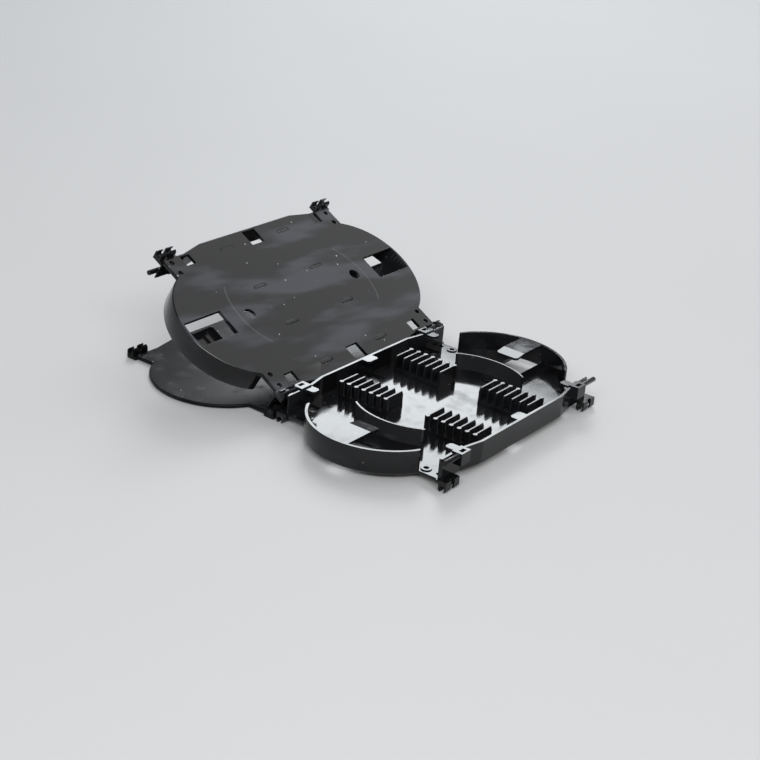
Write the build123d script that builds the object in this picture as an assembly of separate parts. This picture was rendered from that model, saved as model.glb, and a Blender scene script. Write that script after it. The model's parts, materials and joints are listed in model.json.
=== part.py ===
from build123d import *
import math
import os

# Splice tray set: a lower tray, an identical upper tray swung back on it, and a flat lid swung back again.
# x runs along the tray, y towards the hinge side, z up. The origin is on the lower tray's underside,
# midway between its two fixing holes. Every leaf is drawn lying flat in this frame and then swung.

# Outline of a leaf, seen from above
LENGTH = 185.0
END_RADIUS = 41.0
SHOULDER_LENGTH = 141.0
SHOULDER_WIDTH = 100.0
BELLY_WIDTH = 106.0
BELLY_RUN = 77.0
STEP_RUN = 15.0
CORNER_RADIUS = 1.5
BELLY_RADIUS = 6.0

# Moulding
FLOOR = 2.0
WALL = 1.5
HEIGHT = 13.0
RIM_CHAMFER = 0.5
LID_THICKNESS = 1.8

# Fixing holes on the long centre line
FIXING_SPACING = 92.0
FIXING_BORE = 7.0

# Hinge: pins on each tray's corner knuckles, and clips under each leaf that snap over them
STACK_GAP = 1.0
PIN_INSET = 0.3
PIN_DROP = 0.5
PIN_RADIUS = 1.4
PIN_CLEARANCE = 0.08
CLIP_WALL = 0.92
CLIP_MOUTH = 2.3
CLIP_FROM_END = 10.0
CLIP_LENGTH = 11.5
CLAW_LENGTH = 4.2
CLIP_TONGUE = 1.8
TONGUE_RISE = 0.5
KNUCKLE_LENGTH = 8.0
KNUCKLE_GAP = 0.5
KNUCKLE_RISE = 1.3
KNUCKLE_OUT = 2.0
KNUCKLE_DROP = 6.0
KNUCKLE_BAR = 1.2

# Fibre ports and their tie holes in the floor tabs at the four corners
TIE_HOLE = 3.0
TIE_COLLAR = 6.0
TIE_COLLAR_RISE = 0.6
TIE_FROM_END = 4.5
TIE_MARGIN = 0.65

# Retaining tabs along the top of the walls, each over a window in the floor
TAB_THICKNESS = 1.4
WINDOW_CLEARANCE = 0.8
CORNER_TAB_FROM_END = 15.7
CORNER_TAB_WIDTH = 5.6
CORNER_TAB_REACH = 6.2
MIDDLE_TAB_WIDTH = 8.8
MIDDLE_TAB_REACH = 5.0
MIDDLE_WINDOW_REACH = 9.6
TAB_TIP_BEVEL = 1.2
END_TAB_WIDTH = 14.0
END_TAB_RUN = 19.0
END_TAB_LIP = 8.0
LIP_DROP = 1.0
END_WINDOW_CLEARANCE = 1.3

# Curved inner guides that hold the coiled fibre away from the splices
GUIDE_APEX = 54.0
GUIDE_RADIUS = 40.0
GUIDE_SPAN = 45.0
GUIDE_HEIGHT = 9.2
GUIDE_THICKNESS = 1.1

# Splice combs: seven fins with a round head, on a base that snaps into two slots in the floor
FIN_COUNT = 7
FIN_PITCH = 5.0
FIN_THICKNESS = 1.3
FIN_START = 14.0
FIN_INNER = 16.6
HEAD_AT = 31.9
HEAD_RADIUS = 1.45
COMB_HEIGHT = 9.2
COMB_BASE = 1.6
FIN_CHAMFER = 2.2
FOOT_LENGTH = 10.0
FOOT_THICKNESS = 2.4
FOOT_BEVEL = 0.8
FOOT_CLEARANCE = 0.1

# Pose of the set: how far each leaf is swung open from lying closed on the one below
TRAY_SWING = 150.4
LID_SWING = 29.6

# Places that follow from the sizes above
SHOULDER_END = SHOULDER_LENGTH / 2
SHOULDER_SIDE = SHOULDER_WIDTH / 2
BELLY_SIDE = BELLY_WIDTH / 2
CLIP_START = SHOULDER_END - CLIP_FROM_END
CORNER_TAB_AT = SHOULDER_END - CORNER_TAB_FROM_END
STACK_STEP = HEIGHT + STACK_GAP
PIN_Y = BELLY_SIDE - PIN_INSET
PIN_Z = HEIGHT - PIN_DROP
CLIP_Z = PIN_Z - STACK_STEP
CLAW_RADIUS = PIN_RADIUS + PIN_CLEARANCE + CLIP_WALL
END_CENTRE = LENGTH / 2 - END_RADIUS
PORT_START = math.sqrt(END_RADIUS**2 - (SHOULDER_END - END_CENTRE) ** 2)
TIE_INNER = PORT_START + TIE_MARGIN + TIE_HOLE / 2
TIE_OUTER = SHOULDER_SIDE - WALL - TIE_MARGIN - TIE_HOLE / 2
SIGNS = (-1, 1)

# How round posts and collars are drawn, how far a cut runs past a face, and how near counts as on a line
ROUND_SIDES = 12
CUT_PAST = 1.0
MARGIN = 0.01
HINGE_AXIS = Axis((0, PIN_Y, PIN_Z), (1, 0, 0))


def block(x, y, z):
    """Box between two values on each axis, given in either order."""
    size = [abs(b - a) for a, b in (x, y, z)]
    middle = [(a + b) / 2 for a, b in (x, y, z)]
    return Pos(*middle) * Box(*size)


def leaf_plan(inset=0.0):
    """Outline of a leaf drawn in by an inset: shoulders, a wider belly between them, and round ends."""
    run = BELLY_RUN / 2
    side = SHOULDER_SIDE - inset
    belly = Polyline(
        (-run - STEP_RUN, side),
        (-run, BELLY_SIDE - inset),
        (run, BELLY_SIDE - inset),
        (run + STEP_RUN, side),
        (run + STEP_RUN, -side),
        (run, -BELLY_SIDE + inset),
        (-run, -BELLY_SIDE + inset),
        (-run - STEP_RUN, -side),
        close=True,
    )
    plan = make_face(belly) + Rectangle(SHOULDER_LENGTH - 2 * inset, 2 * side)
    for end in SIGNS:
        plan += Pos(end * END_CENTRE, 0) * Circle(END_RADIUS - inset)
    ends = plan.vertices().filter_by(lambda v: abs(v.X) > SHOULDER_END - inset - MARGIN)
    plan = fillet(ends.filter_by(lambda v: abs(v.Y) > side - MARGIN), CORNER_RADIUS)
    bends = plan.vertices().filter_by(lambda v: abs(v.Y) > BELLY_SIDE - inset - MARGIN)
    return fillet(bends, BELLY_RADIUS)


def leaf_plate(thickness):
    """Flat plate on the leaf outline, bevelled along its lower edge."""
    plate = extrude(leaf_plan(), thickness)
    return chamfer(plate.faces().sort_by(Axis.Z)[0].edges(), RIM_CHAMFER)


def clip(end, side):
    """Tongue past the leaf's edge with two claws under it, for one corner."""
    near = CLIP_START
    far = CLIP_START + CLIP_LENGTH
    tongue_top = TONGUE_RISE + CLIP_TONGUE
    piece = block((near, far), (SHOULDER_SIDE - WALL, PIN_Y + CLAW_RADIUS / 2), (TONGUE_RISE, tongue_top))
    for start in (near, far - CLAW_LENGTH):
        claw_run = (start, start + CLAW_LENGTH)
        piece += eight_sided_bar(claw_run, CLAW_RADIUS, CLIP_Z)
        piece += block(claw_run, (PIN_Y - CLAW_RADIUS, PIN_Y + CLAW_RADIUS), (CLIP_Z, tongue_top))
    past = (near - CUT_PAST, far + CUT_PAST)
    bore = rod(past, PIN_RADIUS + PIN_CLEARANCE, CLIP_Z)
    mouth = block(past, (PIN_Y - CLIP_MOUTH / 2, PIN_Y + CLIP_MOUTH / 2), (CLIP_Z - 2 * CLAW_RADIUS, CLIP_Z))
    return to_corner(piece - bore - mouth, end, side)


def knuckle(end, side):
    """Open frame outside a tray's wall top that holds one end of a hinge pin, for one corner."""
    outer = CLIP_START - KNUCKLE_GAP
    inner = outer - KNUCKLE_LENGTH
    foot = HEIGHT - KNUCKLE_DROP
    top = PIN_Z + KNUCKLE_RISE
    outside = PIN_Y + KNUCKLE_OUT
    quarter = KNUCKLE_LENGTH / 4
    piece = block((inner, outer), (SHOULDER_SIDE - WALL, outside), (foot, top))
    slot = (SHOULDER_SIDE + KNUCKLE_BAR, outside - KNUCKLE_BAR)
    piece -= block((inner + quarter, outer - quarter), slot, (foot - CUT_PAST, top + CUT_PAST))
    piece += rod((outer, CLIP_START + CLIP_LENGTH), PIN_RADIUS, PIN_Z)
    return to_corner(piece, end, side)


def rod(run, radius, z):
    """Round bar along x over a run, on the line of the hinge pins at a height z."""
    return Pos((run[0] + run[1]) / 2, PIN_Y, z) * Rot(0, 90, 0) * Cylinder(radius, run[1] - run[0])


def eight_sided_bar(run, half_width, z):
    """Bar with eight flats along x over a run, on the line of the hinge pins at a height z."""
    section = RegularPolygon(half_width, 8, major_radius=False, rotation=22.5)
    return extrude(Pos(run[0], PIN_Y, z) * Rot(0, 90, 0) * section, run[1] - run[0])


def to_corner(piece, end, side):
    """Mirror a piece drawn at the +x, +y corner to the corner with these signs."""
    if end < 0:
        piece = mirror(piece, Plane.YZ)
    if side < 0:
        piece = mirror(piece, Plane.XZ)
    return piece


def tab_outline(width, reach):
    """Tongue along y from its root on the line y = 0, with a bevelled tip at the given reach."""
    tongue = Pos(0, reach / 2) * Rectangle(width, reach)
    tips = tongue.vertices().filter_by(lambda v: v.Y > reach / 2)
    return chamfer(tips, TAB_TIP_BEVEL)


def side_tabs():
    """Retaining tabs on the long walls, as plans with their place, and the windows under them."""
    tabs = []
    for side in SIGNS:
        for end in SIGNS:
            root = (end * CORNER_TAB_AT, side * (SHOULDER_SIDE - WALL))
            tabs.append((root, side, CORNER_TAB_WIDTH, CORNER_TAB_REACH, CORNER_TAB_REACH))
        root = (0, side * (BELLY_SIDE - WALL))
        tabs.append((root, side, MIDDLE_TAB_WIDTH, MIDDLE_TAB_REACH, MIDDLE_WINDOW_REACH))
    return tabs


def end_tab(end):
    """Wide tab from a round end's wall, flat and then sloping down to its lip."""
    wall = LENGTH / 2 - WALL
    bend = wall - END_TAB_RUN
    tip = bend - END_TAB_LIP
    top = HEIGHT
    under = HEIGHT - TAB_THICKNESS
    profile = Polyline(
        (wall + WALL / 2, top),
        (bend, top),
        (tip, top - LIP_DROP),
        (tip, under - LIP_DROP),
        (bend, under),
        (wall + WALL / 2, under),
        close=True,
    )
    face = Plane.XZ * make_face(profile)
    tab = extrude(face, END_TAB_WIDTH / 2, both=True)
    tab = tab & (Pos(END_CENTRE, 0, HEIGHT / 2) * Cylinder(END_RADIUS - WALL / 2, 2 * HEIGHT))
    corners = tab.edges().filter_by(Axis.Z).filter_by(lambda e: e.center().X < tip + MARGIN)
    tab = chamfer(corners, TAB_TIP_BEVEL)
    return tab if end > 0 else mirror(tab, Plane.YZ)


def end_window(end):
    """Window under an end tab, from just past its lip out to the inside of the wall."""
    wall = LENGTH / 2 - WALL
    tip = wall - END_TAB_RUN - END_TAB_LIP
    half = END_TAB_WIDTH / 2 + END_WINDOW_CLEARANCE
    window = block((tip - END_WINDOW_CLEARANCE, LENGTH), (-half, half), (-CUT_PAST, FLOOR + CUT_PAST))
    window = window & (Pos(END_CENTRE, 0, 0) * Cylinder(END_RADIUS - WALL, 4 * HEIGHT))
    return window if end > 0 else mirror(window, Plane.YZ)


def guide(end):
    """Curved wall between the splices and the coiled fibre at one end."""
    centre = GUIDE_APEX - GUIDE_RADIUS
    ring = Circle(GUIDE_RADIUS) - Circle(GUIDE_RADIUS - GUIDE_THICKNESS)
    ring = Pos(centre, 0) * ring
    reach = Pos(centre + GUIDE_RADIUS / 2, 0) * Rectangle(GUIDE_RADIUS + CUT_PAST, GUIDE_SPAN)
    wall = Pos(0, 0, FLOOR / 2) * extrude(ring & reach, GUIDE_HEIGHT + FLOOR / 2)
    return wall if end > 0 else mirror(wall, Plane.YZ)


def comb_feet(end, side, clearance=0.0):
    """The two feet of one comb, or with a clearance the slots that they snap into."""
    middle = (FIN_INNER + HEAD_AT) / 2
    half = FOOT_LENGTH / 2 + clearance
    thick = FOOT_THICKNESS / 2 + clearance
    feet = []
    for fin in (0, FIN_COUNT - 1):
        y = FIN_START + fin * FIN_PITCH
        outline = Rectangle(2 * half, 2 * thick)
        outline = chamfer(outline.vertices(), FOOT_BEVEL)
        foot = extrude(Pos(middle, y, -clearance) * outline, FLOOR + 2 * clearance)
        feet.append(to_corner(foot, end, side))
    return feet


def comb(end, side):
    """Splice comb for one corner of the middle: base, seven headed fins and two feet in the floor."""
    last = FIN_START + (FIN_COUNT - 1) * FIN_PITCH
    thick = FIN_THICKNESS / 2
    base_top = FLOOR + COMB_BASE
    top = FLOOR + COMB_HEIGHT
    piece = block((FIN_INNER, HEAD_AT + HEAD_RADIUS), (FIN_START - thick, last + thick), (FLOOR, base_top))
    for fin in range(FIN_COUNT):
        y = FIN_START + fin * FIN_PITCH
        side_view = Polyline(
            (FIN_INNER, base_top),
            (HEAD_AT, base_top),
            (HEAD_AT, top),
            (FIN_INNER + FIN_CHAMFER / 2, top),
            (FIN_INNER, top - FIN_CHAMFER),
            close=True,
        )
        blade = extrude(Plane.XZ * make_face(side_view), thick, both=True)
        head = extrude(Pos(HEAD_AT, 0, base_top) * RegularPolygon(HEAD_RADIUS, ROUND_SIDES), top - base_top)
        piece += Pos(0, y, 0) * (blade + head)
    piece = to_corner(piece, end, side)
    for foot in comb_feet(end, side):
        piece += foot
    return piece


def tray():
    """One tray, a single moulding, lying flat with its underside on z = 0."""
    body = leaf_plate(FLOOR)
    ring = leaf_plan() - leaf_plan(WALL)
    walls = Pos(0, 0, FLOOR / 2) * extrude(ring, HEIGHT - FLOOR / 2)
    for end in SIGNS:
        for side in SIGNS:
            port_run = (SHOULDER_END - 2 * WALL, SHOULDER_END + WALL)
            port = block(port_run, (PORT_START, SHOULDER_SIDE - WALL), (FLOOR, 2 * HEIGHT))
            walls -= to_corner(port, end, side)
    body += walls
    for end in SIGNS:
        body += guide(end)
        body -= end_window(end)
        body += end_tab(end)
        for side in SIGNS:
            tie_x = SHOULDER_END - TIE_FROM_END
            collar = Pos(tie_x, TIE_INNER, FLOOR) * RegularPolygon(TIE_COLLAR / 2, ROUND_SIDES)
            body += to_corner(extrude(collar, TIE_COLLAR_RISE), end, side)
            for hole_y in (TIE_INNER, TIE_OUTER):
                body -= Pos(end * tie_x, side * hole_y, FLOOR) * Cylinder(TIE_HOLE / 2, 4 * FLOOR)
            body += clip(end, side)
            body += knuckle(end, side)
            for slot in comb_feet(end, side, FOOT_CLEARANCE):
                body -= slot
    for root, side, width, reach, window_reach in side_tabs():
        place = Pos(*root, 0) * Rot(0, 0, 180 if side > 0 else 0)
        outline = tab_outline(width, reach) + Pos(0, -WALL / 4) * Rectangle(width, WALL / 2)
        half = width / 2 + WINDOW_CLEARANCE
        window_end = window_reach + WINDOW_CLEARANCE
        body -= place * block((-half, half), (0, window_end), (-CUT_PAST, FLOOR + CUT_PAST))
        body += place * extrude(Pos(0, 0, HEIGHT - TAB_THICKNESS) * outline, TAB_THICKNESS)
    for end in SIGNS:
        body -= Pos(end * FIXING_SPACING / 2, 0, 0) * Cylinder(FIXING_BORE / 2, 4 * FLOOR)
    return body


def lid():
    """Flat lid on the same outline, with the same clips and fixing holes."""
    body = leaf_plate(LID_THICKNESS)
    for end in SIGNS:
        for side in SIGNS:
            body += clip(end, side)
        body -= Pos(end * FIXING_SPACING / 2, 0, 0) * Cylinder(FIXING_BORE / 2, 4 * LID_THICKNESS)
    return body


def swing_up(piece):
    """Carry a piece of the upper tray from its place in a tray to the swung-back pose."""
    return piece.moved(Pos(0, 0, STACK_STEP)).rotate(HINGE_AXIS, -TRAY_SWING)


def swing_lid(piece):
    """Carry the lid on from the upper tray by its own swing."""
    return swing_up(piece.moved(Pos(0, 0, STACK_STEP)).rotate(HINGE_AXIS, -LID_SWING))


def main():
    os.makedirs("parts", exist_ok=True)
    moulding = tray()
    pieces = {
        "lower_tray": moulding,
        "upper_tray": swing_up(moulding),
        "lid": swing_lid(lid()),
    }
    for end, end_name in ((-1, "left"), (1, "right")):
        for side, side_name in ((-1, "front"), (1, "rear")):
            holder = comb(end, side)
            pieces[f"lower_comb_{side_name}_{end_name}"] = holder
            pieces[f"upper_comb_{side_name}_{end_name}"] = swing_up(holder)
    for name, piece in pieces.items():
        export_step(piece, f"parts/{name}.step")


main()
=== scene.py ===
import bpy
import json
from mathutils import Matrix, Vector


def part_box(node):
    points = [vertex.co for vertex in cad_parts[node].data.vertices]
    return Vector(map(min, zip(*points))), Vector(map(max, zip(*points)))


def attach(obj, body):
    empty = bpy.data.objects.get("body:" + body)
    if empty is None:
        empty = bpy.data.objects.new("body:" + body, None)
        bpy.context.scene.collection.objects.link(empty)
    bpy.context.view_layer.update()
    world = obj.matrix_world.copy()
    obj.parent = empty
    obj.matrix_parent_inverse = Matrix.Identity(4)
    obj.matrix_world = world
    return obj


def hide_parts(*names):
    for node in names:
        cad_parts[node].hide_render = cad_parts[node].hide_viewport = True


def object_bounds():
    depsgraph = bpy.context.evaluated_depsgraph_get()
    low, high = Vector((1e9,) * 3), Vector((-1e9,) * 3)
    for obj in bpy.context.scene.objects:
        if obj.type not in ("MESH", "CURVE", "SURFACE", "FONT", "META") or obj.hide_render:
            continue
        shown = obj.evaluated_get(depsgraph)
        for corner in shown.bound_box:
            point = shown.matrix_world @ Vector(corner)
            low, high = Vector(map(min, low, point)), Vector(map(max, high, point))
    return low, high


bl_info = {
    "name": "Splice tray set",
    "version": (1, 0, 0),
    "blender": (4, 5, 0),
    "location": "View3D > Sidebar > Splice tray",
    "description": "Finishes the moulded trays, lid and splice combs, and sets a plain stage around them",
    "category": "Object",
}

import json
import math

import bpy
import numpy as np
from mathutils import Matrix, Vector

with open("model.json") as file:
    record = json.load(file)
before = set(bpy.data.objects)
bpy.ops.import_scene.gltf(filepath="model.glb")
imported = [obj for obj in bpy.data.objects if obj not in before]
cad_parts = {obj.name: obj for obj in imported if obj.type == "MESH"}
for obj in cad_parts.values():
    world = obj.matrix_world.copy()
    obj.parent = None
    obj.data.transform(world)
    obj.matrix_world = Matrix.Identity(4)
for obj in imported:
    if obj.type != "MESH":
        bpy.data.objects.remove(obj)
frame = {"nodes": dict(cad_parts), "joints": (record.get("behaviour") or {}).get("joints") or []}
CAD_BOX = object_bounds()

MM = 0.001
SIGNS = {"front": -1, "rear": 1, "left": -1, "right": 1}

# Marks on the plastic: specks of dust, and cloudy bands of painted sheen, a paler colour that stands in for
# the sheen on the trays' undersides. ELSEWHERE is the share of painted sheen and dust that is left away from
# the undersides.
ELSEWHERE = 0.15
PAINTED_SHEEN_SIZE = 22 * MM
PAINTED_SHEEN_STRETCH = (4, 1, 1)
PAINTED_SHEEN_TURN = math.radians(9)
DUST_CELL = 5 * MM
DUST_COLOUR = (0.55, 0.56, 0.58, 1)
DUST_ROUGHNESS = 0.7
SMUDGE_SIZE = 12 * MM
GRAIN_SIZE = 0.35 * MM
SINK_TINT = 0.08
SINK_DEPTH = 0.03 * MM

# Small measures of a comb: how far its blocks reach into one another, and the rounding of base and feet.
OVERLAP = 0.4 * MM
BASE_CORNER = 0.3 * MM
BASE_ROUNDING = 0.15 * MM
FOOT_ROUNDING = 0.1 * MM
FOOT_TOE = 0.35 * MM

# Points of a comb's outlines: along one side of a fin, and round a block.
FIN_POINTS = 33
BLOCK_POINTS = 32

# Level plane just under the lower tray's wall tops. The camera is mirrored in it to place the back softbox.
MIRROR_LEVEL = 12.5 * MM


def joint(name):
    """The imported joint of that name."""
    return next(j for j in frame["joints"] if j["name"] == name)


# The upper tray is drawn flat like the lower one, lifted by one step of the stack and swung about the hinge.
HINGE = Vector(joint("tray_hinge")["pos_m"])
SWING = math.radians(joint("tray_hinge")["range_deg"][1])
LEAF_STEP = (Vector(joint("lid_hinge")["pos_m"]) - HINGE).length
LIFT = Matrix.Translation((0, 0, LEAF_STEP))


def swung(angle):
    """Matrix that swings a point about the hinge, opening by an angle."""
    return Matrix.Translation(HINGE) @ Matrix.Rotation(-angle, 4, "X") @ Matrix.Translation(-HINGE)


def leaf_matrix(leaf):
    """Matrix from a leaf drawn flat, with its underside on z = 0, to its place in the set."""
    if leaf == "lower":
        return Matrix.Identity(4)
    upper = swung(SWING) @ LIFT
    if leaf == "upper":
        return upper
    lid_swing = math.radians(joint("lid_hinge")["range_deg"][1])
    return upper @ swung(lid_swing) @ LIFT


class CombShape(bpy.types.PropertyGroup):
    """Sizes of one splice comb, as on the solid that it stands for."""

    fins: bpy.props.IntProperty(name="Fins", description="Fins on one comb", default=7, min=2)
    pitch: bpy.props.FloatProperty(
        name="Pitch", description="From one fin to the next", default=5 * MM, unit="LENGTH")
    blade: bpy.props.FloatProperty(
        name="Blade", description="Thickness of a fin's blade", default=1.3 * MM, unit="LENGTH")
    head: bpy.props.FloatProperty(
        name="Head", description="Radius of a fin's round head", default=1.45 * MM, unit="LENGTH")
    base: bpy.props.FloatProperty(
        name="Base", description="Height of the base between the fins", default=1.6 * MM, unit="LENGTH")
    floor: bpy.props.FloatProperty(
        name="Floor", description="Thickness of the tray floor that the feet go through", default=2 * MM,
        unit="LENGTH")
    slope: bpy.props.FloatProperty(
        name="Slope", description="Height of the sloping inner end of a fin", default=2.2 * MM, unit="LENGTH")
    rounding: bpy.props.FloatProperty(
        name="Rounding", description="Rounding along the top of a fin", default=0.35 * MM, unit="LENGTH")
    foot_length: bpy.props.FloatProperty(
        name="Foot length", description="Length of a foot along the fins", default=10 * MM, unit="LENGTH")
    foot_width: bpy.props.FloatProperty(
        name="Foot width", description="Width of a foot across the fins", default=2.4 * MM, unit="LENGTH")
    foot_corner: bpy.props.FloatProperty(
        name="Foot corner", description="Radius of a foot's corners", default=1.15 * MM, unit="LENGTH")


class PlasticLook(bpy.types.PropertyGroup):
    """Finish of the moulded plastic."""

    colour: bpy.props.FloatVectorProperty(
        name="Colour", description="Base colour of the black plastic", subtype="COLOR", size=3,
        default=(0.006, 0.0062, 0.0068), min=0, max=1)
    # Paler colour of the cloudy bands: painted sheen on the trays' undersides, standing in for the sheen that
    # they mirror.
    painted_sheen_colour: bpy.props.FloatVectorProperty(
        name="Bloom", description="Colour of the faint cloudy patches", subtype="COLOR", size=3,
        default=(0.046, 0.048, 0.058), min=0, max=1)
    roughness: bpy.props.FloatProperty(
        name="Roughness", description="Roughness of the polished faces", default=0.09, min=0, max=1)
    smudge: bpy.props.FloatProperty(
        name="Smudges", description="Extra roughness where the faces are smudged", default=0.12, min=0, max=1)
    ripple: bpy.props.FloatProperty(
        name="Ripple", description="Height of the slow waves in a moulded wall", default=0.05 * MM,
        unit="LENGTH")
    ripple_size: bpy.props.FloatProperty(
        name="Ripple size", description="Distance between the slow waves", default=22 * MM, unit="LENGTH")
    grain: bpy.props.FloatProperty(
        name="Grain", description="Height of the fine grain", default=0.0015 * MM, precision=6, unit="LENGTH")
    dust: bpy.props.FloatProperty(
        name="Dust", description="Share of the cells that hold a speck of dust", default=0.22, min=0, max=1,
        subtype="FACTOR")
    edge: bpy.props.FloatProperty(
        name="Edge", description="Most that an edge is rounded, less where roundings would overlap",
        default=0.18 * MM, unit="LENGTH")
    sheen: bpy.props.FloatProperty(
        name="Gloss level", description="How strongly the plastic mirrors, 0.5 being common plastic",
        default=0.32, min=0, max=1, subtype="FACTOR")
    lid_roughness: bpy.props.FloatProperty(
        name="Lid roughness", description="Roughness of the lid's face", default=0.2, min=0, max=1)
    lid_sheen: bpy.props.FloatProperty(
        name="Lid gloss level", description="How strongly the lid mirrors", default=0.12, min=0, max=1,
        subtype="FACTOR")


class StageLook(bpy.types.PropertyGroup):
    """Floor, lights and camera."""

    floor_colour: bpy.props.FloatVectorProperty(
        name="Floor", description="Colour of the floor", subtype="COLOR", size=3, default=(0.66, 0.66, 0.66))
    floor_shade: bpy.props.FloatProperty(
        name="Floor shade", description="Share of the floor's colour that its darker patches have",
        default=0.99, min=0, max=1, subtype="FACTOR")
    world_colour: bpy.props.FloatVectorProperty(
        name="Surroundings", description="Colour of the soft light from all round", subtype="COLOR", size=3,
        default=(0.92, 0.95, 1.0))
    world_strength: bpy.props.FloatProperty(
        name="Soft light", description="Strength of the light from all round", default=0.3, min=0)
    camera_place: bpy.props.FloatVectorProperty(
        name="Camera", description="Where the camera stands", subtype="TRANSLATION", size=3,
        default=(-0.6223, -0.4021, 0.3506), unit="LENGTH")
    camera_turn: bpy.props.FloatVectorProperty(
        name="Camera turn", description="Rotation of the camera", subtype="EULER", size=3,
        default=(math.radians(64.74), math.radians(-4.21), math.radians(-51.85)))
    lens: bpy.props.FloatProperty(
        name="Lens", description="Focal length in millimetres on a 36 mm sensor", default=71.3, min=1)
    shift: bpy.props.FloatVectorProperty(
        name="Shift", description="Camera shift", size=2, default=(0.0237, 0.0221))


class Graph:
    """Short hand for adding and joining the nodes of a material."""

    def __init__(self, tree):
        self.tree = tree

    def add(self, kind, links=None, **settings):
        """Add a node, set its properties and wire or set its inputs by name or number."""
        node = self.tree.nodes.new(kind)
        for key, value in settings.items():
            setattr(node, key, value)
        for key, value in (links or {}).items():
            if isinstance(value, bpy.types.NodeSocket):
                self.tree.links.new(value, node.inputs[key])
            else:
                node.inputs[key].default_value = value
        return node

    def math(self, operation, *values):
        """Result of one Math node."""
        node = self.add("ShaderNodeMath", dict(enumerate(values)), operation=operation)
        return node.outputs[0]

    def ramp(self, value, low, high, to_low=0.0, to_high=1.0):
        """Value carried from one range to another with soft ends."""
        links = {"Value": value, "From Min": low, "From Max": high, "To Min": to_low, "To Max": to_high}
        return self.add("ShaderNodeMapRange", links, interpolation_type="SMOOTHSTEP").outputs[0]

    def mix(self, share, first, second):
        """Colour between a first one, at a share of 0, and a second one, at 1."""
        links = {"Factor": share, "A": first, "B": second}
        return self.add("ShaderNodeMix", links, data_type="RGBA").outputs["Result"]

    def noise(self, place, size, detail=2.0, rough=0.5, stretch=(1, 1, 1), turn=0.0):
        """Noise whose features are about a given size in metres, drawn out along an axis turned about z."""
        links = {"Vector": place, "Rotation": (0, 0, turn), "Scale": stretch}
        scaled = self.add("ShaderNodeMapping", links, vector_type="TEXTURE").outputs[0]
        links = {"Vector": scaled, "Scale": 1 / size, "Detail": detail, "Roughness": rough}
        return self.add("ShaderNodeTexNoise", links).outputs[0]


def flat_place(graph, leaf):
    """Object coordinates carried back to the leaf drawn flat."""
    place = graph.add("ShaderNodeTexCoord").outputs["Object"]
    back = leaf_matrix(leaf).inverted()
    links = {"Vector": place, "Location": back.to_translation(), "Rotation": back.to_euler()}
    return graph.add("ShaderNodeMapping", links).outputs[0]


def sink_lines(graph, place):
    """Faint hollow lines in the floor under the two curved guides: 1 on the line, 0 away from it.

    Each line is an arc about a point on the x axis, and fades out at its ends and towards the tray's middle.
    """
    radius, centre, reach, width, fade = 39.45 * MM, 14 * MM, 22.5 * MM, 0.9 * MM, 2 * MM
    axes = graph.add("ShaderNodeSeparateXYZ", {0: place})
    along = graph.math("SUBTRACT", graph.math("ABSOLUTE", axes.outputs[0]), centre)
    across = axes.outputs[1]
    square = graph.math("ADD", graph.math("MULTIPLY", along, along), graph.math("MULTIPLY", across, across))
    off_line = graph.math("ABSOLUTE", graph.math("SUBTRACT", graph.math("SQRT", square), radius))
    line = graph.ramp(off_line, low=width, high=0.0)
    within = graph.ramp(graph.math("ABSOLUTE", across), low=reach, high=reach - fade)
    outer = graph.ramp(along, low=0.0, high=fade)
    return graph.math("MULTIPLY", graph.math("MULTIPLY", line, within), outer)


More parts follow.
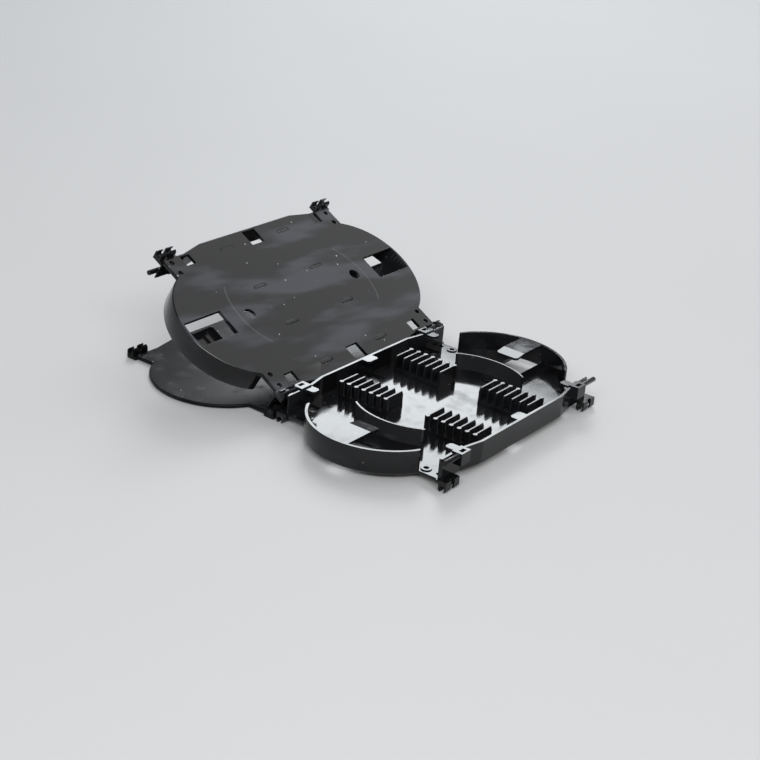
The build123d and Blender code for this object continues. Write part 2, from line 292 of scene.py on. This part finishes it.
def moulded_plastic(name, leaf, look, roughness, sheen, sinks_and_painted_sheen=False):
    """Black plastic with slow waves, fine grain, smudges, specks of dust and paler cloudy bands of painted
    sheen.
    """
    material = bpy.data.materials.new(name)
    material.use_nodes = True
    graph = Graph(material.node_tree)
    shader = material.node_tree.nodes["Principled BSDF"]
    place = flat_place(graph, leaf)

    # 1 on the underside, which lies on z = 0 when the leaf is drawn flat.
    level = graph.add("ShaderNodeSeparateXYZ", {0: place}).outputs[2]
    under = graph.ramp(level, low=0.6 * MM, high=0.3 * MM, to_low=ELSEWHERE, to_high=1.0)
    # Painted sheen: paler cloudy bands in the base colour stand in for the sheen that the undersides mirror.
    # They are full on the trays' undersides and faint elsewhere.
    drift = graph.noise(place, PAINTED_SHEEN_SIZE, detail=3, rough=0.5, stretch=PAINTED_SHEEN_STRETCH, turn=PAINTED_SHEEN_TURN)
    painted_sheen = graph.ramp(drift, low=0.46, high=0.6)
    painted_sheen = graph.math("MULTIPLY", painted_sheen, under if sinks_and_painted_sheen else ELSEWHERE)
    base = graph.mix(painted_sheen, (*look.colour, 1), (*look.painted_sheen_colour, 1))

    # Specks of dust: some cells of the pattern hold one, each paler or dimmer by chance.
    cells = graph.add("ShaderNodeTexVoronoi", {"Vector": place, "Scale": 1 / DUST_CELL})
    chance = graph.add("ShaderNodeSeparateColor", {0: cells.outputs["Color"]}).outputs
    chosen = graph.math("LESS_THAN", chance[0], look.dust)
    chosen = graph.math("MULTIPLY", chosen, graph.math("SQRT", chance[1]))
    speck = graph.math("MULTIPLY", chosen, graph.ramp(cells.outputs["Distance"], low=0.12, high=0.08))
    speck = graph.math("MULTIPLY", speck, under)
    pale = speck
    if sinks_and_painted_sheen:
        line = sink_lines(graph, place)
        pale = graph.math("MAXIMUM", speck, graph.math("MULTIPLY", line, SINK_TINT))
    material.node_tree.links.new(graph.mix(pale, base, DUST_COLOUR), shader.inputs["Base Color"])

    patches = graph.noise(place, SMUDGE_SIZE, detail=5, rough=0.6)
    smudge = graph.ramp(patches, low=0.45, high=0.75, to_low=roughness, to_high=roughness + look.smudge)
    rough = graph.math("MAXIMUM", smudge, graph.math("MULTIPLY", speck, DUST_ROUGHNESS))
    material.node_tree.links.new(rough, shader.inputs["Roughness"])

    # Heights in millimetres, which the bump node's distance makes metres.
    swell = graph.noise(place, look.ripple_size, detail=1, rough=0.4, stretch=(2, 1, 1))
    waves = graph.math("MULTIPLY", swell, look.ripple / MM)
    fine = graph.math("MULTIPLY", graph.noise(place, GRAIN_SIZE, detail=3), look.grain / MM)
    height = graph.math("ADD", waves, fine)
    if sinks_and_painted_sheen:
        height = graph.math("SUBTRACT", height, graph.math("MULTIPLY", line, SINK_DEPTH / MM))
    bump = graph.add("ShaderNodeBump", {"Height": height, "Strength": 1.0, "Distance": MM})
    material.node_tree.links.new(bump.outputs[0], shader.inputs["Normal"])
    shader.inputs["Specular IOR Level"].default_value = sheen
    return material


def set_material(piece, material):
    """Give every slot of a piece one material."""
    if not piece.material_slots:
        piece.data.materials.append(material)
    for item in piece.material_slots:
        item.material = material


def soften_edges(piece, width):
    """Round a moulded solid's sharp edges with modifiers, once its flat triangles are joined to faces."""
    weld = piece.modifiers.new("join corners", "WELD")
    weld.merge_threshold = 1e-6
    flat = piece.modifiers.new("join flat faces", "DECIMATE")
    flat.decimate_type = "DISSOLVE"
    flat.angle_limit = math.radians(1)
    bevel = piece.modifiers.new("round edges", "BEVEL")
    bevel.width = width
    bevel.segments = 2
    bevel.limit_method = "ANGLE"
    bevel.angle_limit = math.radians(40)
    bevel.use_clamp_overlap = True
    bevel.miter_outer = "MITER_ARC"


def ring_mesh(rings):
    """Vertices and faces of closed surfaces, each a stack of rings with a flat cap at both ends.

    rings has the shape (pieces, levels, points, 3). Each ring runs anticlockwise seen from above and the
    levels run upwards, so every face points outwards.
    """
    pieces, levels, points, _ = rings.shape
    index = np.arange(pieces * levels * points).reshape(pieces, levels, points)
    after = np.roll(index, -1, axis=2)
    walls = np.stack([index[:, :-1], after[:, :-1], after[:, 1:], index[:, 1:]], axis=-1).reshape(-1, 4)
    caps = [tuple(cap) for cap in index[:, -1]] + [tuple(cap[::-1]) for cap in index[:, 0]]
    return rings.reshape(-1, 3), [tuple(wall) for wall in walls] + caps


def rounded_levels(bottom, top, rounding, toe=0.0, steps=4):
    """Heights of the levels of a rounded block and how far each level is drawn in.

    The sides run straight up to one rounding below the top, then follow a quarter circle: the inset is
    r (1 - cos a) and the height top - r (1 - sin a), for a from 0 to 90 degrees. A toe is the same quarter
    circle turned upside down at the bottom.
    """
    turn = np.linspace(0, math.pi / 2, steps + 1)
    heights = top - rounding * (1 - np.sin(turn))
    insets = rounding * (1 - np.cos(turn))
    if not toe:
        return np.concatenate([[bottom], heights]), np.concatenate([[0.0], insets])
    low = bottom + toe * (1 - np.sin(turn[::-1]))
    return np.concatenate([low, heights]), np.concatenate([toe * (1 - np.cos(turn[::-1])), insets])


def fin_rings(shape, inner, head_at, bottom, top):
    """Rings of one fin lying along x, its blade ending in a round head.

    At a place x its half width is the smooth maximum (h**8 + c**8)**(1/8) of the blade's half width h, itself
    rounded off at the inner end, and of the head's circle c = sqrt(R**2 - (x - head)**2). The inner end
    slopes away over the topmost part of the blade by half of that part's height.
    """
    heights, insets = rounded_levels(bottom, top, shape.rounding)
    heights = np.insert(heights, 1, top - shape.slope)[:, None]
    insets = np.insert(insets, 1, 0.0)[:, None]
    back = inner + insets + np.clip(heights - (top - shape.slope), 0, None) / 2
    front = head_at + shape.head - insets
    way = (1 - np.cos(np.linspace(0, math.pi, FIN_POINTS))) / 2
    x = back + (front - back) * way
    half = shape.blade / 2 - insets
    tip = np.clip((x - back) / half, 0, 1)
    blade = half * np.sqrt(1 - (1 - tip) ** 2)
    circle = np.sqrt(np.clip((shape.head - insets) ** 2 - (x - head_at) ** 2, 0, None))
    blade = np.where(x < head_at, blade, 0)
    width = (blade ** 8 + circle ** 8) ** 0.125
    x = np.concatenate([x, x[:, -2:0:-1]], axis=1)
    y = np.concatenate([-width, width[:, -2:0:-1]], axis=1)
    return np.stack([x, y, np.broadcast_to(heights, x.shape)], axis=-1)


def block_rings(middle, size, bottom, top, corner, rounding, toe=0.0):
    """Rings of a block with rounded corners: the corner circles' centres lie one corner radius inside."""
    heights, insets = rounded_levels(bottom, top, rounding, toe)
    turn = np.linspace(0, 2 * math.pi, BLOCK_POINTS, endpoint=False) + math.pi / BLOCK_POINTS
    corners = np.stack([np.sign(np.cos(turn)), np.sign(np.sin(turn))], axis=-1)
    arms = np.stack([np.cos(turn), np.sin(turn)], axis=-1)
    flat = middle + corners * (np.array(size) / 2 - corner) + arms * (corner - insets[:, None, None])
    return np.concatenate([flat, np.broadcast_to(heights[:, None, None], flat.shape[:2] + (1,))], axis=-1)


def comb_mesh(shape, box):
    """Vertices and faces of one comb in the corner with positive x and y, from the box of its solid."""
    low, high = box
    head_at = high.x - shape.head
    base_top = shape.floor + shape.base
    first = low.y + shape.foot_width / 2
    fin = fin_rings(shape, low.x, head_at, base_top - OVERLAP, high.z)
    fins = np.stack([fin + (0, first + n * shape.pitch, 0) for n in range(shape.fins)])
    last = first + (shape.fins - 1) * shape.pitch
    middle = np.array([(low.x + high.x) / 2, (first + last) / 2])
    size = (high.x - low.x, last - first + shape.blade)
    base = block_rings(middle, size, shape.floor, base_top, BASE_CORNER, BASE_ROUNDING)
    foot_x = (low.x + head_at) / 2
    foot_size = (shape.foot_length, shape.foot_width)
    foot_top = shape.floor + OVERLAP
    feet = [block_rings(np.array([foot_x, y]), foot_size, 0, foot_top, shape.foot_corner, FOOT_ROUNDING,
                        FOOT_TOE) for y in (first, last)]
    points, faces = np.empty((0, 3)), []
    for rings in (fins, base[None], np.stack(feet)):
        more, around = ring_mesh(rings)
        faces += [tuple(i + len(points) for i in face) for face in around]
        points = np.concatenate([points, more])
    return points, faces


def comb_piece(name, shape, leaf, side, end, material):
    """One comb as a new piece in its place on a leaf."""
    low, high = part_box(f"lower_comb_{side}_{end}")
    signs = np.array([SIGNS[end], SIGNS[side]])
    flat = [np.sort(np.array([low[i], high[i]]) * signs[i]) for i in (0, 1)]
    box = (Vector((flat[0][0], flat[1][0], low.z)), Vector((flat[0][1], flat[1][1], high.z)))
    points, faces = comb_mesh(shape, box)
    points = points * (*signs, 1)
    if signs.prod() < 0:
        faces = [face[::-1] for face in faces]
    mesh = bpy.data.meshes.new(name)
    mesh.from_pydata(points.tolist(), [], faces)
    mesh.transform(leaf_matrix(leaf))
    mesh.shade_smooth()
    mesh.set_sharp_from_angle(angle=math.radians(35))
    piece = bpy.data.objects.new(name, mesh)
    bpy.context.scene.collection.objects.link(piece)
    set_material(piece, material)
    keep = piece.modifiers.new("even shading", "WEIGHTED_NORMAL")
    keep.keep_sharp = True
    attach(piece, leaf)
    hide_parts(f"{leaf}_comb_{side}_{end}")


class SPLICE_OT_trays(bpy.types.Operator):
    """Finish the two trays in polished black plastic with softened edges"""

    bl_idname = "splice.trays"
    bl_label = "Finish the trays"

    def execute(self, context):
        look = context.scene.splice_plastic
        for leaf in ("lower", "upper"):
            tray = frame["nodes"][f"{leaf}_tray"]
            name = f"{leaf} tray plastic"
            # The trays get sink lines, and the painted sheen bands in full on their undersides.
            set_material(tray, moulded_plastic(name, leaf, look, look.roughness, look.sheen, sinks_and_painted_sheen=True))
            soften_edges(tray, look.edge)
        return {"FINISHED"}


class SPLICE_OT_lid(bpy.types.Operator):
    """Finish the flat lid in the same plastic with a duller face"""

    bl_idname = "splice.lid"
    bl_label = "Finish the lid"

    def execute(self, context):
        look = context.scene.splice_plastic
        lid = frame["nodes"]["lid"]
        set_material(lid, moulded_plastic("lid plastic", "lid", look, look.lid_roughness, look.lid_sheen))
        soften_edges(lid, look.edge)
        return {"FINISHED"}


class SPLICE_OT_combs(bpy.types.Operator):
    """Build the eight splice combs with round heads and rounded fins"""

    bl_idname = "splice.combs"
    bl_label = "Build the combs"

    def execute(self, context):
        look = context.scene.splice_plastic
        shape = context.scene.splice_comb
        for leaf in ("lower", "upper"):
            material = moulded_plastic(f"{leaf} comb plastic", leaf, look, look.roughness, look.sheen)
            for side in ("front", "rear"):
                for end in ("left", "right"):
                    comb_piece(f"{leaf}_splice_comb_{side}_{end}", shape, leaf, side, end, material)
        return {"FINISHED"}


def area_lamp(name, place, target, size, strength, colour=(1, 1, 1), roll=0.0):
    """Soft lamp of a width and height whose face has a given radiance, aimed at a point and rolled."""
    lamp = bpy.data.lights.new(name, "AREA")
    lamp.shape = "RECTANGLE"
    lamp.size, lamp.size_y = size
    lamp.energy = strength * math.pi * size[0] * size[1]
    lamp.color = colour
    piece = bpy.data.objects.new(name, lamp)
    aim = (Vector(target) - Vector(place)).to_track_quat("-Z", "Y").to_matrix().to_4x4()
    piece.matrix_world = Matrix.Translation(place) @ aim @ Matrix.Rotation(roll, 4, "Z")
    bpy.context.scene.collection.objects.link(piece)


def toward(azimuth, elevation, distance):
    """Step of a length in a direction, its angles in degrees and the azimuth taken from +x towards +y."""
    a, e = math.radians(azimuth), math.radians(elevation)
    return Vector((math.cos(a) * math.cos(e), math.sin(a) * math.cos(e), math.sin(e))) * distance


def floor_material(look):
    """Pale matt floor with a faint mottle."""
    material = bpy.data.materials.new("pale floor")
    material.use_nodes = True
    graph = Graph(material.node_tree)
    shader = material.node_tree.nodes["Principled BSDF"]
    place = graph.add("ShaderNodeTexCoord").outputs["Object"]
    mottle = graph.ramp(graph.noise(place, size=0.2, detail=3), low=0.3, high=0.7)
    shaded = tuple(c * look.floor_shade for c in look.floor_colour)
    colour = graph.mix(mottle, (*look.floor_colour, 1), (*shaded, 1))
    material.node_tree.links.new(colour, shader.inputs["Base Color"])
    shader.inputs["Roughness"].default_value = 0.7
    return material


class SPLICE_OT_stage(bpy.types.Operator):
    """Set the floor, the lights and the camera"""

    bl_idname = "splice.stage"
    bl_label = "Set the stage"

    def execute(self, context):
        look = context.scene.splice_stage
        half = 4.0
        level = CAD_BOX[0][2]
        mesh = bpy.data.meshes.new("floor")
        corners = [(-half, -half, level), (half, -half, level), (half, half, level), (-half, half, level)]
        mesh.from_pydata(corners, [], [(0, 1, 2, 3)])
        floor = bpy.data.objects.new("floor", mesh)
        context.scene.collection.objects.link(floor)
        set_material(floor, floor_material(look))

        # Seen from the camera's mirrored place, the back softbox stands behind the tops that mirror it.
        mirrored = Vector(look.camera_place) * Vector((1, 1, -1)) + Vector((0, 0, 2 * MIRROR_LEVEL))
        away = toward(azimuth=36.7, elevation=32.7, distance=3.8)
        area_lamp("back softbox", mirrored + away, mirrored, size=(0.83, 1.38), strength=8,
                  colour=(0.93, 0.97, 1.0), roll=math.radians(-20))
        middle = (0, 0.04, 0.01)
        right = toward(azimuth=-6, elevation=48, distance=1.8)
        area_lamp("right softbox", right, middle, size=(1.7, 1.6), strength=1.0)
        front = toward(azimuth=218, elevation=40, distance=2.0)
        area_lamp("front softbox", front, middle, size=(2.2, 0.45), strength=9)

        world = bpy.data.worlds.new("studio")
        world.use_nodes = True
        back = world.node_tree.nodes["Background"]
        back.inputs["Color"].default_value = (*look.world_colour, 1)
        back.inputs["Strength"].default_value = look.world_strength
        context.scene.world = world

        lens = bpy.data.cameras.new("camera")
        lens.sensor_width = 36
        lens.lens = look.lens
        lens.shift_x, lens.shift_y = look.shift
        lens.clip_start = 0.01
        camera = bpy.data.objects.new("camera", lens)
        camera.location = look.camera_place
        camera.rotation_euler = look.camera_turn
        context.scene.collection.objects.link(camera)
        context.scene.camera = camera
        context.scene.view_settings.view_transform = "Standard"
        return {"FINISHED"}


class SPLICE_PT_panel(bpy.types.Panel):
    """Panel that lists the steps"""

    bl_label = "Splice tray set"
    bl_space_type = "VIEW_3D"
    bl_region_type = "UI"
    bl_category = "Splice tray"

    def draw(self, context):
        for operator in OPERATORS:
            self.layout.operator(operator.bl_idname)
        for group in (context.scene.splice_plastic, context.scene.splice_comb, context.scene.splice_stage):
            box = self.layout.box()
            for key in group.__annotations__:
                box.prop(group, key)


OPERATORS = (SPLICE_OT_trays, SPLICE_OT_lid, SPLICE_OT_combs, SPLICE_OT_stage)
CLASSES = (CombShape, PlasticLook, StageLook, *OPERATORS, SPLICE_PT_panel)


def register():
    for item in CLASSES:
        bpy.utils.register_class(item)
    bpy.types.Scene.splice_comb = bpy.props.PointerProperty(type=CombShape)
    bpy.types.Scene.splice_plastic = bpy.props.PointerProperty(type=PlasticLook)
    bpy.types.Scene.splice_stage = bpy.props.PointerProperty(type=StageLook)


def unregister():
    del bpy.types.Scene.splice_comb
    del bpy.types.Scene.splice_plastic
    del bpy.types.Scene.splice_stage
    for item in reversed(CLASSES):
        bpy.utils.unregister_class(item)


def main():
    register()
    bpy.ops.splice.trays()
    bpy.ops.splice.lid()
    bpy.ops.splice.combs()
    bpy.ops.splice.stage()


if __name__ == "__main__":
    main()
